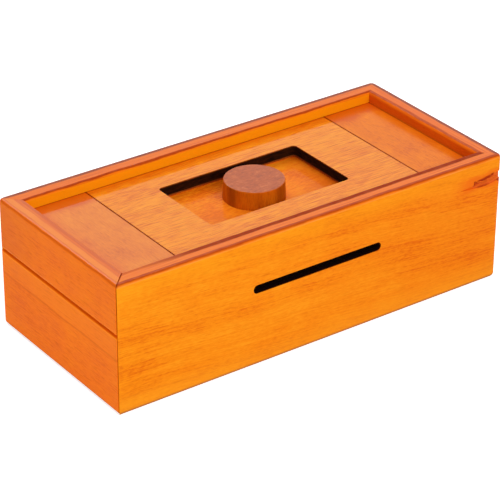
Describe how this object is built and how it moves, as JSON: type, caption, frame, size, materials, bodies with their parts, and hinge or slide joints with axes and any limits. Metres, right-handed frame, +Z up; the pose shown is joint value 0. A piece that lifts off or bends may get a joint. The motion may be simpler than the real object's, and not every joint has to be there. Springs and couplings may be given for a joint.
{
  "type": "puzzle box",
  "caption": "Mitred wooden puzzle box: a knob slides in a window in the recessed top, papers drop through a slot in the front, and a peg under the knob locks the drawer in the left end.",
  "frame": {"origin": "middle of the underside, on the surface that the box stands on", "axes": "+X along the box towards the right end, +Y towards the rear, +Z up; the drawer opens towards -X and the slot faces -Y"},
  "size_m": [0.21, 0.096, 0.0635],
  "materials": {
    "stained_wall": "orange stain under satin lacquer",
    "window_panel": "light orange stain under satin lacquer, laser-burnt window edge",
    "end_panel": "pinkish orange stain under satin lacquer",
    "plate_board": "deep orange stain under satin lacquer",
    "turned_knob": "brown stained end grain",
    "plain_board": "unstained sanded board",
    "dowel": "plain dowel",
    "screw_steel": "zinc plated"
  },
  "bodies": {
    "carcass": {"front_wall": "stained_wall", "rear_wall": "stained_wall", "right_end_wall": "stained_wall", "left_end_upper": "stained_wall", "bottom_board": "plain_board", "mid_board": "plain_board", "drawer_stop": "plain_board", "top_panel_left": "end_panel", "top_panel_centre": "window_panel", "top_panel_right": "end_panel"},
    "drawer": {"drawer_face": "stained_wall", "drawer_floor": "plain_board", "drawer_side_front": "plain_board", "drawer_side_rear": "plain_board", "drawer_back": "plain_board"},
    "carriage": {"carriage": "plain_board"},
    "knob_slider": {"knob_plate": "plate_board", "knob": "turned_knob", "knob_screw": "screw_steel", "lock_peg": "dowel", "guide_peg": "dowel"}
  },
  "joints": [
    {"name": "drawer_slide", "type": "slide", "parent": "carcass", "child": "drawer", "axis": [-1, 0, 0], "range_m": [0, 0.12]},
    {"name": "knob_long_slide", "type": "slide", "parent": "carcass", "child": "carriage", "axis": [1, 0, 0], "range_m": [-0.0234, 0.0234]},
    {"name": "knob_cross_slide", "type": "slide", "parent": "carriage", "child": "knob_slider", "axis": [0, 1, 0], "range_m": [-0.0062, 0.0062]}
  ]
}
